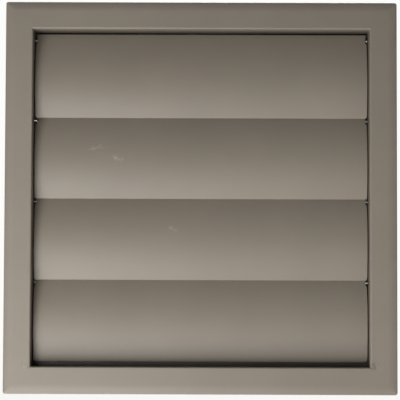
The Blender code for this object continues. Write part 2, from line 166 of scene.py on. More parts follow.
def rod(radius, y_start, y_end, sides, centre=(0.0, 0.0)):
    """A plain round bar along Y at an (x, z) centre."""
    form = turned(((0.0, y_start), (radius, y_start), (radius, y_end), (0.0, y_end)), sides)
    bmesh.ops.translate(form, verts=form.verts, vec=(centre[0], 0.0, centre[1]))
    return form


def lay_across(form):
    """Turn a form that lies along Y to lie along X."""
    turn = Matrix.Rotation(-math.pi / 2, 3, "Z")
    bmesh.ops.rotate(form, verts=form.verts, cent=(0.0, 0.0, 0.0), matrix=turn)


def cross_rod(radius, x_start, x_end, y, z, sides):
    """A plain round bar along X."""
    form = rod(radius, x_start, x_end, sides)
    lay_across(form)
    bmesh.ops.translate(form, verts=form.verts, vec=(0.0, y, z))
    return form


def block(low, high):
    """A box between two corners."""
    form = bmesh.new()
    size = [high[i] - low[i] for i in range(3)]
    middle = [(high[i] + low[i]) / 2 for i in range(3)]
    stretch = Matrix.Translation(middle) @ Matrix.Diagonal((*size, 1.0))
    bmesh.ops.create_cube(form, size=1.0, matrix=stretch)
    return form


def corner_spots(offset):
    """The four (x, z) places at one distance from both middle lines."""
    return [(x, z) for x in (-offset, offset) for z in (-offset, offset)]


def gathered(forms):
    """Several closed forms that don't meet, as one mesh."""
    whole = bmesh.new()
    for form in forms:
        part = mesh_from(form, "part")
        whole.from_mesh(part)
        bpy.data.meshes.remove(part)
    return mesh_from(whole, "gathered")


def evaluated_mesh(piece, name):
    """The plain mesh that a piece's modifiers give."""
    bpy.context.view_layer.update()
    seen = piece.evaluated_get(bpy.context.evaluated_depsgraph_get())
    mesh = bpy.data.meshes.new_from_object(seen)
    mesh.name = name
    return mesh


def combined(mesh, tool_mesh, operation):
    """Unite a mesh with another, or cut the other out of it."""
    body = bpy.data.objects.new("body", mesh)
    tool = bpy.data.objects.new("tool", tool_mesh)
    for thing in (body, tool):
        bpy.context.scene.collection.objects.link(thing)
    cut = body.modifiers.new("cut", "BOOLEAN")
    cut.operation = operation
    cut.solver = "EXACT"
    cut.object = tool
    result = evaluated_mesh(body, mesh.name)
    for thing in (body, tool):
        bpy.data.objects.remove(thing, do_unlink=True)
    form = bmesh.new()
    form.from_mesh(result)
    bmesh.ops.remove_doubles(form, verts=form.verts, dist=MERGE_DISTANCE)
    bmesh.ops.dissolve_degenerate(form, edges=form.edges, dist=MERGE_DISTANCE)
    bpy.data.meshes.remove(result)
    return mesh_from(form, mesh.name)


def arc(centre, radius, start, end, steps):
    """Points on an arc in a plane, angles in degrees."""
    points = []
    for step in range(steps + 1):
        angle = math.radians(start + (end - start) * step / steps)
        points.append((centre[0] + radius * math.cos(angle), centre[1] + radius * math.sin(angle)))
    return points


def add_piece(name, mesh, finish, body, nodes):
    """Put a finished mesh in the scene on its body, in place of its CAD nodes."""
    mesh.name = name
    mesh.materials.clear()
    mesh.materials.append(finish)
    mesh.shade_smooth()
    mesh.set_sharp_from_angle(angle=SHARP_ABOVE)
    piece = bpy.data.objects.new(name, mesh)
    bpy.context.scene.collection.objects.link(piece)
    flat_faces = piece.modifiers.new("flat_faces", "WEIGHTED_NORMAL")
    flat_faces.keep_sharp = True
    flat_faces.weight = 100
    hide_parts(*nodes)
    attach(piece, body)


def add_node(tree, kind, feeds=None, **settings):
    """Add a node, and feed its inputs with plain values or other nodes' outputs."""
    node = tree.nodes.new(kind)
    for key, value in settings.items():
        setattr(node, key, value)
    for key, value in (feeds or {}).items():
        if isinstance(value, bpy.types.NodeSocket):
            tree.links.new(value, node.inputs[key])
        else:
            node.inputs[key].default_value = value
    return node


def outlet(tree, kind, feeds=None, **settings):
    """Add a node in the same way, and give its first output."""
    return add_node(tree, kind, feeds, **settings).outputs[0]


def maths(tree, operation, *values):
    """One sum on numbers or outputs."""
    return outlet(tree, "ShaderNodeMath", dict(enumerate(values)), operation=operation)


def vector_maths(tree, operation, *values):
    """One sum on vectors or outputs."""
    return outlet(tree, "ShaderNodeVectorMath", dict(enumerate(values)), operation=operation)


def parts_of(tree, vector):
    """The x, y and z of a vector."""
    return add_node(tree, "ShaderNodeSeparateXYZ", {0: vector}).outputs


def turned_place(tree, place, angle):
    """A place turned about the Y axis."""
    feeds = {"Vector": place, "Axis": (0.0, 1.0, 0.0), "Angle": angle}
    return outlet(tree, "ShaderNodeVectorRotate", feeds, rotation_type="AXIS_ANGLE")


def ramp(tree, value, start, end, low=0.0, high=1.0, smooth=False):
    """A value taken from its own range to another, held at both ends."""
    feeds = {0: value, 1: start, 2: end, 3: low, 4: high}
    kind = "SMOOTHSTEP" if smooth else "LINEAR"
    return outlet(tree, "ShaderNodeMapRange", feeds, interpolation_type=kind)


def noise(tree, place, scale, detail, **more):
    """The value of a noise texture at a place."""
    feeds = {"Vector": place, "Scale": scale, "Detail": detail, **more}
    return add_node(tree, "ShaderNodeTexNoise", feeds).outputs["Fac"]


def mixed_colour(tree, share, first, second):
    """Two colours, plain or outputs, mixed by a share."""
    feeds = {0: share, 6: first, 7: second}
    return add_node(tree, "ShaderNodeMix", feeds, data_type="RGBA").outputs[2]


def laid_over(tree, base, mask, strength, colour):
    """A colour output with another colour over it where a mask lets it through."""
    return mixed_colour(tree, maths(tree, "MULTIPLY", mask, strength), base, colour)


def toned(colour, factor):
    """A colour made lighter or darker, with its alpha."""
    return (*[channel * factor for channel in colour], 1.0)


def new_group(name, kind, ins, outs):
    """A node group with named inputs and outputs; gives the tree and its two end nodes."""
    group = bpy.data.node_groups.new(name, kind)
    for label, sort, value in ins:
        socket = group.interface.new_socket(label, in_out="INPUT", socket_type=sort)
        if value is not None:
            socket.default_value = value
    for label, sort in outs:
        group.interface.new_socket(label, in_out="OUTPUT", socket_type=sort)
    return group, group.nodes.new("NodeGroupInput"), group.nodes.new("NodeGroupOutput")


def mask_group(name, vectors, sizes, outs=("Mask",)):
    """A shader group that makes masks from vectors and named numbers."""
    ins = [(label, "NodeSocketVector", None) for label in vectors]
    ins += [(label, "NodeSocketFloat", value) for label, value in sizes.items()]
    return new_group(name, "ShaderNodeTree", ins, [(label, "NodeSocketFloat") for label in outs])


def mould_skin_group():
    """The skin a steel mould leaves on PVC: fine spark grain, slow ripples, and faint
    clouds and specks in the colour and gloss where the melt flowed and cooled."""
    sizes = {"Grain Size": 0.0003, "Ripple Size": 0.006, "Cloud Size": 0.030}
    outs = ("Height", "Clouds", "Specks")
    group, start, end = mask_group("mould_skin", ["Place"], sizes, outs)
    size = start.outputs

    def field(width, detail, roughness):
        scale = maths(group, "DIVIDE", 1.0, width)
        return noise(group, size["Place"], scale, detail, Roughness=roughness)

    grain = field(size["Grain Size"], 2.0, 0.6)
    ripple = field(size["Ripple Size"], 1.0, 0.4)
    clouds = field(size["Cloud Size"], 3.0, 0.55)
    specks = field(maths(group, "MULTIPLY", size["Grain Size"], 3.0), 1.0, 0.5)
    height = maths(group, "MULTIPLY_ADD", ripple, 3.0, maths(group, "MULTIPLY", grain, 0.35))
    group.links.new(height, end.inputs["Height"])
    group.links.new(ramp(group, clouds, 0.30, 0.70), end.inputs["Clouds"])
    group.links.new(ramp(group, specks, 0.30, 0.70), end.inputs["Specks"])
    return group


def hairline_group():
    """Sparse hairline scratches from wiping and packing, gathered in loose patches."""
    group, start, end = mask_group("hairlines", ["Place"], {"Spacing": 0.007})
    place, spacing = start.outputs["Place"], start.outputs["Spacing"]
    lines = []
    for turn, stretch in ((0.35, (1.0, 1.0, 7.0)), (1.9, (6.0, 1.0, 1.0))):
        long_place = vector_maths(group, "DIVIDE", turned_place(group, place, turn), stretch)
        scale = maths(group, "DIVIDE", 1.6, spacing)
        feeds = {"Vector": long_place, "Scale": scale, "Randomness": 1.0}
        cells = add_node(group, "ShaderNodeTexVoronoi", feeds, feature="DISTANCE_TO_EDGE")
        lines.append(ramp(group, cells.outputs["Distance"], 0.0, 0.010, 1.0, 0.0))
    patches = noise(group, place, maths(group, "DIVIDE", 0.35, spacing), 2.0)
    patches = ramp(group, patches, 0.52, 0.66)
    both = maths(group, "MAXIMUM", *lines)
    group.links.new(maths(group, "MULTIPLY", both, patches), end.inputs["Mask"])
    return group


def edge_rub_group():
    """Where an outward edge has been rubbed brighter, broken up by a fine noise."""
    sizes = {"Pointiness": 0.5, "Start": 0.515, "End": 0.60}
    group, start, end = mask_group("edge_rub", ["Place"], sizes)
    edge = ramp(group, *[start.outputs[label] for label in sizes])
    worn = noise(group, start.outputs["Place"], 420.0, 3.0, Roughness=0.6)
    worn = ramp(group, worn, 0.35, 0.65)
    group.links.new(maths(group, "MULTIPLY", edge, worn), end.inputs["Mask"])
    return group


def new_finish(name):
    """A new material, with its tree, its shader and the place on the object."""
    finish = bpy.data.materials.new(name)
    finish.use_nodes = True
    tree = finish.node_tree
    place = add_node(tree, "ShaderNodeTexCoord").outputs["Object"]
    return finish, tree, tree.nodes["Principled BSDF"], place


def dress(tree, shader, tone, gloss, height, strength, depth):
    """Feed a shader its colour, its roughness and the bumps of its surface."""
    feeds = {"Height": height, "Strength": strength, "Distance": depth}
    bump = outlet(tree, "ShaderNodeBump", feeds)
    for label, value in (("Base Color", tone), ("Roughness", gloss), ("Normal", bump)):
        tree.links.new(value, shader.inputs[label])


def plastic_finish(name, colour, roughness, marks):
    """Satin grey-brown PVC with its mould skin, hairlines and rubbed edges. The marks of
    one piece alone come from a function that gives (mask, strength, colour, height)."""
    finish, tree, shader, place = new_finish(name)
    feeds = {"Place": place}
    surface = add_node(tree, "ShaderNodeGroup", feeds, node_tree=mould_skin).outputs
    lines = outlet(tree, "ShaderNodeGroup", feeds, node_tree=hairlines)
    feeds["Pointiness"] = add_node(tree, "ShaderNodeNewGeometry").outputs["Pointiness"]
    rubbed = outlet(tree, "ShaderNodeGroup", feeds, node_tree=edge_rub)

    shade = mixed_colour(tree, surface["Clouds"], toned(colour, 0.965), toned(colour, 1.035))
    pale = toned(colour, 1.35)
    for mask, strength in ((surface["Specks"], 0.05), (lines, 0.16), (rubbed, 0.20)):
        shade = laid_over(tree, shade, mask, strength, pale)
    height = surface["Height"]
    for mask, strength, mark_colour, mark_height in marks(tree, place):
        shade = laid_over(tree, shade, mask, strength, mark_colour)
        height = maths(tree, "MULTIPLY_ADD", mask, mark_height, height)

    gloss = ramp(tree, surface["Specks"], 0.0, 1.0, roughness - 0.03, roughness + 0.05)
    gloss = maths(tree, "MULTIPLY_ADD", lines, 0.10, gloss)
    gloss = maths(tree, "MULTIPLY_ADD", rubbed, -0.08, gloss)
    dress(tree, shader, shade, gloss, height, strength=0.35, depth=0.00002)
    return finish


PLASTIC = (0.262, 0.226, 0.182)
# Width of the ring of painted shade round each sink dip.
SINK_RIM_WIDTH = 0.0012
WITNESS_UP = 0.0008
WITNESS_OUT = 0.0018
WITNESS_FADE = (0.0010, 0.0024)
WITNESS_STRETCH = (1.0, 1.0, 0.22)
WITNESS_SCALE = 1100.0
# Painted shade on the opening's walls: where it fades in across the wall, where it deepens and where
# it ends.
WALL_SHADE_FADE = (0.0026, 0.0030)
WALL_SHADE_DEEPENS = (FACE_Y + 0.0012, FACE_Y + 0.0100)
WALL_SHADE_ENDS = (SEAT_Y - 0.0030, SEAT_Y - 0.0010)


def frame_marks(tree, place):
    """Faint dips in the bezel over the screw bosses, where thick plastic shrank, each with
    painted shade in the dip and a thin ring of painted shade at its rim; fine witness
    lines of the mould's insert at the opening's lower corners, with painted shade in
    their grooves and a painted highlight on their crests over their bumps; and painted
    shade on the opening's walls, darker towards the flaps."""
    parts = parts_of(tree, place)
    across, up = maths(tree, "ABSOLUTE", parts[0]), maths(tree, "ABSOLUTE", parts[2])
    from_boss = [maths(tree, "SUBTRACT", value, CHANNEL_MIDDLE) for value in (across, up)]
    squares = [maths(tree, "MULTIPLY", value, value) for value in from_boss]
    radius = maths(tree, "SQRT", maths(tree, "ADD", *squares))
    # Painted shade: each sink dip is painted darker over its bump, and a thin ring round its rim is
    # painted darker with no bump.
    dip_and_shade = ramp(tree, radius, BOSS_RADIUS * 0.4, BOSS_RADIUS * 1.25, 1.0, 0.0, smooth=True)
    from_rim = maths(tree, "ABSOLUTE", maths(tree, "SUBTRACT", radius, BOSS_RADIUS))
    painted_rim_shade = ramp(tree, from_rim, 0.0, SINK_RIM_WIDTH, 1.0, 0.0)

    low = maths(tree, "ADD", parts[2], HALF_OPENING - WITNESS_UP)
    beside = maths(tree, "SUBTRACT", across, HALF_OPENING + WITNESS_OUT)
    from_spot = [maths(tree, "ABSOLUTE", value) for value in (low, beside)]
    fades = [ramp(tree, value, *WITNESS_FADE, 1.0, 0.0) for value in from_spot]
    spot = maths(tree, "MULTIPLY", *fades)
    upright = vector_maths(tree, "MULTIPLY", place, WITNESS_STRETCH)
    wave = noise(tree, upright, WITNESS_SCALE, 1.0, Distortion=0.6)
    # Painted shade and highlight: the witness lines' grooves are painted darker and their crests
    # paler, on top of their bumps.
    grooves_and_shade = maths(tree, "MULTIPLY", spot, ramp(tree, wave, 0.53, 0.60))
    crests_and_highlight = maths(tree, "MULTIPLY", spot, ramp(tree, wave, 0.40, 0.47, 1.0, 0.0))

    # Painted shade: the opening's walls are painted darker deeper in, towards the flaps, in place of
    # the shade that falls there.
    from_wall = maths(tree, "SUBTRACT", maths(tree, "MAXIMUM", across, up), HALF_OPENING)
    on_wall = ramp(tree, maths(tree, "ABSOLUTE", from_wall), *WALL_SHADE_FADE, 1.0, 0.0)
    painted_wall_shade = maths(tree, "MULTIPLY", on_wall, ramp(tree, parts[1], *WALL_SHADE_DEEPENS))
    painted_wall_shade = maths(tree, "MULTIPLY", painted_wall_shade, ramp(tree, parts[1], *WALL_SHADE_ENDS, 1.0, 0.0))
    # Tones for the painted shade, for the painted highlight on the crests, and for the deep painted
    # shade on the walls.
    painted_shade_tone, pale, deep_shade_tone = [toned(PLASTIC, factor) for factor in (0.70, 1.30, 0.20)]
    return [
        (painted_rim_shade, 0.10, painted_shade_tone, 0.0),
        (dip_and_shade, 0.05, painted_shade_tone, -2.5),
        (grooves_and_shade, 1.0, painted_shade_tone, -1.5),
        (crests_and_highlight, 0.90, pale, 1.5),
        (painted_wall_shade, 0.90, deep_shade_tone, 0.0),
    ]


mould_skin = mould_skin_group()
hairlines = hairline_group()
edge_rub = edge_rub_group()
vent_plastic = plastic_finish("vent_plastic_finish", PLASTIC, 0.46, frame_marks)


def channel_section():
    """The frame's wall as (inset from the outer edge, y), once around."""
    slope, drop = math.sin(FACE_ROLL), math.cos(FACE_ROLL)
    edge_y = FACE_Y + FACE_ROLL_RADIUS * (1 - drop) + OUTER_EDGE_ROUND * drop
    roll_inset = FACE_ROLL_RADIUS * slope + OUTER_EDGE_ROUND * (1 - slope)
    roll_centre = (roll_inset, FACE_Y + FACE_ROLL_RADIUS)
    roll_turn = 270 - math.degrees(FACE_ROLL)
    inner = (BEZEL_WIDTH - INNER_ROUND, FACE_Y + INNER_ROUND)
    hollow = (WALL + HOLLOW_ROUND, FACE_Y + WALL + HOLLOW_ROUND)
    small = BACK_EDGE_ROUND
    section = arc((small, -small), small, 90, 180, 3)
    section += arc((OUTER_EDGE_ROUND, edge_y), OUTER_EDGE_ROUND, 180, roll_turn, ROUND_STEPS)
    section += arc(roll_centre, FACE_ROLL_RADIUS, roll_turn, 270, ROUND_STEPS)[1:]
    section += arc(inner, INNER_ROUND, 270, 360, ROUND_STEPS)
    section += arc((BEZEL_WIDTH - small, SEAT_Y - small), small, 0, 90, 3)
    section += [(BEZEL_WIDTH - WALL, SEAT_Y), (BEZEL_WIDTH - WALL, FACE_Y + WALL)]
    section += arc(hollow, HOLLOW_ROUND, 270, 180, CORNER_STEPS)
    section += arc((WALL - small, -small), small, 0, 90, 3)
    return section


def geometry_tree(name, sizes, *more):
    """A Geometry Nodes tree that takes a mesh, named sizes and a finish."""
    ins = [("Geometry", "NodeSocketGeometry", None)]
    ins += [(label, "NodeSocketFloat", value) for label, value in sizes.items()]
    ins += [*more, ("Finish", "NodeSocketMaterial", None)]
    return new_group(name, "GeometryNodeTree", ins, [("Geometry", "NodeSocketGeometry")])


def tree_words(tree):
    """Short calls for one tree: a sum, and a vector from its three parts."""

    def do(operation, *values):
        return maths(tree, operation, *values)

    def triple(x, y, z):
        return outlet(tree, "ShaderNodeCombineXYZ", {0: x, 1: y, 2: z})

    return do, triple


def merged(tree, geometry):
    """Geometry whose points that coincide are one."""
    feeds = {"Geometry": geometry, "Distance": MERGE_DISTANCE}
    return outlet(tree, "GeometryNodeMergeByDistance", feeds)


def send_out(tree, start, end, geometry):
    """Make a tree's geometry real, give it the tree's finish and send it out."""
    real = outlet(tree, "GeometryNodeRealizeInstances", {"Geometry": geometry})
    feeds = {"Geometry": real, "Material": start.outputs["Finish"]}
    tree.links.new(outlet(tree, "GeometryNodeSetMaterial", feeds), end.inputs[0])


def rib_tree():
    """Ribs across the hollow of the four rails: thin blocks set out on lines of points."""
    sizes = {
        "Rib Thickness": RIB_THICKNESS,
        "Rib Length": BEZEL_WIDTH - WALL,
        "Rib Reach": RIB_REACH,
        "Rib Middle Depth": 0.0,
        "Rail Offset": CHANNEL_MIDDLE,
        "Level Start": 0.0,
        "Level Pitch": 0.0,
        "Upright Start": 0.0,
        "Upright Pitch": 0.0,
    }
    rib_count = ("Rib Count", "NodeSocketInt", RIBS_PER_RAIL)
    tree, start, end = geometry_tree("rail_ribs", sizes, rib_count)
    do, triple = tree_words(tree)
    size = start.outputs
    branches = []
    for along, across, rail in ((0, 2, "Level"), (2, 0, "Upright")):
        extent = [None, size["Rib Reach"], None]
        extent[along], extent[across] = size["Rib Thickness"], size["Rib Length"]
        rib = outlet(tree, "GeometryNodeMeshCube", {"Size": triple(*extent)})
        for side in (-1.0, 1.0):
            first = [None, size["Rib Middle Depth"], None]
            first[along] = size[f"{rail} Start"]
            first[across] = do("MULTIPLY", size["Rail Offset"], side)
            gap = [0.0, 0.0, 0.0]
            gap[along] = size[f"{rail} Pitch"]
            feeds = {"Count": size["Rib Count"], "Start Location": triple(*first)}
            feeds["Offset"] = triple(*gap)
            line = outlet(tree, "GeometryNodeMeshLine", feeds)
            feeds = {"Points": line, "Instance": rib}
            branches.append(outlet(tree, "GeometryNodeInstanceOnPoints", feeds))
    join = add_node(tree, "GeometryNodeJoinGeometry")
    for branch in branches:
        tree.links.new(branch, join.inputs[0])
    send_out(tree, start, end, join.outputs[0])
    return tree


def grown(base, tree, sizes, name):
    """Run a Geometry Nodes tree on a mesh with named sizes and keep the plain mesh."""
    stand = bpy.data.objects.new("stand", base)
    bpy.context.scene.collection.objects.link(stand)
    nodes = stand.modifiers.new("nodes", "NODES")
    nodes.node_group = tree
    for item in tree.interface.items_tree:
        if item.item_type == "SOCKET" and item.in_out == "INPUT" and item.name in sizes:
            nodes[item.identifier] = sizes[item.name]
    mesh = evaluated_mesh(stand, name)
    bpy.data.objects.remove(stand, do_unlink=True)
    return mesh


def frame_mesh():
    """The frame: its wall lofted round, then pads, pin holes, ribs, stop rib and bosses."""
    rings = []
    for inset, y in channel_section():
        radius = max(OUTER_CORNER - inset, INNER_CORNER)
        rings.append(square_ring(HALF_FACE - inset, radius, y))
    mesh = mesh_from(loft(rings), "front_frame")

    pads = []
    holes = []
    for pin_z in PIN_HEIGHTS:
        for side in (-1, 1):
            start, stop = side * (HALF_OPENING + WALL - LAP), side * PAD_END
            pads.append(cross_rod(PAD_RADIUS, start, stop, PIN_Y, pin_z, BOSS_SIDES))
            start, stop = side * (HALF_OPENING - OVERRUN), side * (PAD_END + OVERRUN)
            holes.append(cross_rod(PIN_HOLE_RADIUS, start, stop, PIN_Y, pin_z, PIN_HOLE_SIDES))
    mesh = combined(mesh, gathered(pads), "UNION")
    mesh = combined(mesh, gathered(holes), "DIFFERENCE")

    pitch = PIN_HEIGHTS[0] - PIN_HEIGHTS[1]
    spread = 2 * HALF_OPENING / RIBS_PER_RAIL
    inside_face = FACE_Y + WALL - LAP
    sizes = {
        "Rib Reach": RIB_REACH + LAP,
        "Rib Middle Depth": inside_face + (RIB_REACH + LAP) / 2,
        "Level Start": (0.5 - RIBS_PER_RAIL / 2) * spread,
        "Level Pitch": spread,
        "Upright Start": PIN_HEIGHTS[0] - pitch / 2,
        "Upright Pitch": -pitch,
        "Finish": vent_plastic,
    }
    ribs = grown(bpy.data.meshes.new("ribs"), rib_tree(), sizes, "ribs")
    mesh = combined(mesh, ribs, "UNION")

    reach = HALF_OPENING + WALL / 2
    low = (-reach, STOP_RIB_FRONT_Y, -reach)
    high = (reach, STOP_RIB_FRONT_Y + STOP_RIB_THICKNESS, STOP_RIB_TOP)
    mesh = combined(mesh, mesh_from(block(low, high), "stop"), "UNION")

    corners = corner_spots(CHANNEL_MIDDLE)
    bosses = [rod(BOSS_RADIUS, inside_face, SEAT_Y, BOSS_SIDES, spot) for spot in corners]
    mesh = combined(mesh, gathered(bosses), "UNION")
    end_y = SEAT_Y + OVERRUN
    pilots = [rod(PILOT_RADIUS, PILOT_TIP_Y, end_y, BOSS_SIDES, spot) for spot in corners]
    return combined(mesh, gathered(pilots), "DIFFERENCE")


shell = frame_mesh()
add_piece("front_frame_shell", shell, vent_plastic, "vent_body", ["front_frame"])


# Flaps: four thin PVC blades, each curved outward, with an end cheek, a pivot boss and a
# bead along the back of its lower edge. They are moulded alike and hang side by side, so
# one tree makes them from their sizes and each is set at the height of its pins.

FLAP_SIZES = {
    "Half Width": 0.0797,
    "Thickness": 0.0012,
    "Arc Radius": 0.0557,
    "Crown Below Pin": 0.0216,
    "Skin Before Pin": 0.0013,
    "Above Pin": 0.0031,
    "Below Pin": 0.03785,
    "Corner Round": 0.0011,
    "Edge Round": 0.00025,
    "Bead Thickness": 0.0010,
    "Bead Over Edge": 0.0012,
    "Bead Tip": 0.000721,
    "Bead End Inset": 0.0030,
    "Cheek Thickness": 0.0012,
    "Cheek Inset": 0.0004,
    "Cheek Top": -0.00414,
    "Cheek Bottom": -0.03465,
    "Boss Radius": 0.0020,
    "Boss Length": 0.0045,
    "Boss Relief": 0.0007,
    "Pin Hole Radius": 0.0009,
    "Pin Hole Depth": 0.0033,
}
ARC_STEPS = 40
EDGE_STEPS = 8
BLADE_RINGS = 44
RING_CROWDING = 2.5
POINT_NUDGE = 0.001
BEAD_SIDES = 32
FRONT_ABOVE = 0.0001
FLAP_BOSS_SIDES = 48
DRUM_SIDES = 256
SLAB_DEPTH = 0.020
SLAB_OVER = 0.001
PIN_PLACE = ("Pin Place", "NodeSocketVector", None)


def flap_tree():
    """The tree that makes one flap on its pin axis, then lifts it to its place."""
    tree, start, end = geometry_tree("gravity_flap", FLAP_SIZES, PIN_PLACE)
    do, triple = tree_words(tree)
    size = start.outputs

    def minus(value):
        return do("MULTIPLY", value, -1.0)

    def halved(value):
        return do("DIVIDE", value, 2.0)

    def leg(longest, other):
        squares = [do("MULTIPLY", side, side) for side in (longest, other)]
        return do("SQRT", do("SUBTRACT", *squares))

    half = halved(size["Thickness"])
    middle_radius = do("SUBTRACT", size["Arc Radius"], half)
    arc_depth = leg(size["Arc Radius"], size["Crown Below Pin"])
    arc_forward = do("SUBTRACT", size["Skin Before Pin"], arc_depth)
    arc_up = minus(size["Crown Below Pin"])

    def middle_line(height):
        """How far forward the middle of the blade's thickness lies at a height."""
        return do("ADD", arc_forward, leg(middle_radius, do("SUBTRACT", height, arc_up)))

    def set_out(mesh, x, forward, up):
        feeds = {"Geometry": mesh, "Position": triple(x, minus(forward), up)}
        return outlet(tree, "GeometryNodeSetPosition", feeds)

    # The blade: a round bar's rings, drawn out to the section and across the flap
    count = 2 * (ARC_STEPS + EDGE_STEPS)
    feeds = {"Vertices": count, "Side Segments": BLADE_RINGS, "Radius": 1.0, "Depth": 2.0}
    bar = outlet(tree, "GeometryNodeMeshCylinder", feeds)
    place = parts_of(tree, outlet(tree, "GeometryNodeInputPosition"))
    turn = do("ARCTAN2", place[1], place[0])
    share = do("FRACT", do("ADD", do("DIVIDE", turn, 2 * math.pi), 1.0 + POINT_NUDGE / count))
    point = do("MULTIPLY", share, float(count))
    from_end = do("SUBTRACT", 1.0, do("ABSOLUTE", place[2]))
    spread = do("SUBTRACT", 1.0, do("POWER", from_end, RING_CROWDING))
    across = do("MULTIPLY", do("MULTIPLY", spread, do("SIGN", place[2])), size["Half Width"])
    across = minus(across)

    def fallen(radius):
        """How far a round of this radius has fallen away near the flap's side edge."""
        past = do("SUBTRACT", do("ABSOLUTE", across), do("SUBTRACT", size["Half Width"], radius))
        near = ramp(tree, do("DIVIDE", past, radius), 0.0, 1.0)
        return do("MULTIPLY", do("SUBTRACT", 1.0, leg(1.0, near)), radius)

    lift = fallen(size["Corner Round"])
    thin = do("SUBTRACT", half, fallen(size["Edge Round"]))
    low_up = do("ADD", do("SUBTRACT", half, size["Below Pin"]), lift)
    high_up = do("SUBTRACT", do("SUBTRACT", size["Above Pin"], half), do("MULTIPLY", lift, 0.5))
    bottom, top = [
        do("ARCSINE", do("DIVIDE", do("SUBTRACT", height, arc_up), middle_radius))
        for height in (low_up, high_up)
    ]
    first, second = float(ARC_STEPS), float(ARC_STEPS + EDGE_STEPS)
    third = second + ARC_STEPS
    rise = do("SUBTRACT", ramp(tree, point, 0.0, first), ramp(tree, point, second, third))
    along = do("MULTIPLY_ADD", do("SUBTRACT", top, bottom), rise, bottom)
    over = do("ADD", ramp(tree, point, first, second), ramp(tree, point, third, float(count)))
    facing = do("MULTIPLY_ADD", over, math.pi, along)

    def skin(wave, centre):
        middle = do("MULTIPLY", middle_radius, do(wave, along))
        return do("ADD", do("ADD", middle, do("MULTIPLY", thin, do(wave, facing))), centre)

    blade = set_out(bar, across, skin("COSINE", arc_forward), skin("SINE", arc_up))

    # The bead: a bar with a round back edge that closes on the next flap
    bead_half = halved(size["Bead Thickness"])
    bead_up = do("SUBTRACT", size["Bead Over Edge"], size["Below Pin"])
    feeds = {"Vertices": BEAD_SIDES, "Side Segments": 1, "Radius": 1.0, "Depth": 2.0}
    bar = outlet(tree, "GeometryNodeMeshCylinder", feeds)
    in_front = do("GREATER_THAN", place[0], FRONT_ABOVE)
    back = do("MULTIPLY_ADD", place[0], bead_half, do("ADD", size["Bead Tip"], bead_half))
    feeds = {0: in_front, 2: back, 3: middle_line(bead_up)}
    forward = outlet(tree, "ShaderNodeMix", feeds, data_type="FLOAT")
    up = do("MULTIPLY_ADD", place[1], bead_half, bead_up)
    reach = do("SUBTRACT", size["Half Width"], size["Bead End Inset"])
    bead = set_out(bar, minus(do("MULTIPLY", place[2], reach)), forward, up)

    # End cheeks and pivot bosses, both trimmed to the inside of the blade
    def moved(kind, feeds, centre, rotation):
        feeds = {"Geometry": outlet(tree, kind, feeds), "Translation": centre, "Rotation": rotation}
        return outlet(tree, "GeometryNodeTransform", feeds)

    def cross_bar(radius, length, centre, sides):
        feeds = {"Vertices": sides, "Radius": radius, "Depth": length}
        return moved("GeometryNodeMeshCylinder", feeds, centre, Euler((0.0, math.pi / 2, 0.0)))

    def box_at(extent, centre, rotation):
        return moved("GeometryNodeMeshCube", {"Size": extent}, centre, rotation)

    def boolean(operation, others, first_mesh=None):
        node = add_node(tree, "GeometryNodeMeshBoolean", operation=operation, solver="EXACT")
        if first_mesh is not None:
            tree.links.new(first_mesh, node.inputs[0])
        for other in others:
            tree.links.new(other, node.inputs[1])
        return node.outputs[0]

    high_end, low_end = middle_line(size["Cheek Top"]), middle_line(size["Cheek Bottom"])
    cheek_height = do("SUBTRACT", size["Cheek Top"], size["Cheek Bottom"])
    lean = do("ARCTAN2", do("SUBTRACT", low_end, high_end), cheek_height)

    def slab_middle(one, other, wave):
        between = do("MULTIPLY", do("ADD", one, other), 0.5)
        return do("MULTIPLY_ADD", do(wave, lean), SLAB_DEPTH / 2, between)

    slab_length = do("ADD", do("DIVIDE", cheek_height, do("COSINE", lean)), SLAB_OVER)
    slab_size = triple(size["Cheek Thickness"], SLAB_DEPTH, slab_length)
    slab_y = minus(slab_middle(high_end, low_end, "COSINE"))
    slab_up = slab_middle(size["Cheek Top"], size["Cheek Bottom"], "SINE")
    slab_turn = triple(minus(lean), 0.0, 0.0)
    slab_end = do("SUBTRACT", size["Half Width"], size["Cheek Inset"])
    slab_x = do("SUBTRACT", slab_end, halved(size["Cheek Thickness"]))
    boss_end = do("SUBTRACT", size["Half Width"], size["Boss Relief"])
    boss_x = do("SUBTRACT", boss_end, halved(size["Boss Length"]))
    notch_width = do("ADD", size["Boss Relief"], OVERRUN)
    notch_x = do("ADD", boss_end, halved(notch_width))
    notch_span = do("MULTIPLY", size["Boss Radius"], 2.0)
    notch_size = triple(notch_width, notch_span, notch_span)
    hole_length = do("ADD", size["Pin Hole Depth"], OVERRUN)
    hole_start = do("SUBTRACT", boss_end, size["Pin Hole Depth"])
    hole_x = do("ADD", hole_start, halved(hole_length))

    def at_side(side, x, y=0.0, z=0.0):
        return triple(do("MULTIPLY", x, side), y, z)

    added, removed = [], []
    for side in (-1.0, 1.0):
        added.append(box_at(slab_size, at_side(side, slab_x, slab_y, slab_up), slab_turn))
        boss_spot = at_side(side, boss_x)
        added.append(cross_bar(size["Boss Radius"], size["Boss Length"], boss_spot, FLAP_BOSS_SIDES))
        removed.append(box_at(notch_size, at_side(side, notch_x), Euler()))
        hole_spot = at_side(side, hole_x)
        removed.append(cross_bar(size["Pin Hole Radius"], hole_length, hole_spot, PIN_HOLE_SIDES))
    drum_place = triple(0.0, minus(arc_forward), arc_up)
    drum_length = do("MULTIPLY", size["Half Width"], 2.0)
    drum = cross_bar(middle_radius, drum_length, drum_place, DRUM_SIDES)
    ends = boolean("INTERSECT", [boolean("UNION", added), drum])
    whole = boolean("DIFFERENCE", removed, boolean("UNION", [blade, bead, ends]))
    feeds = {"Geometry": merged(tree, whole), "Translation": size["Pin Place"]}
    send_out(tree, start, end, outlet(tree, "GeometryNodeTransform", feeds))
    return tree


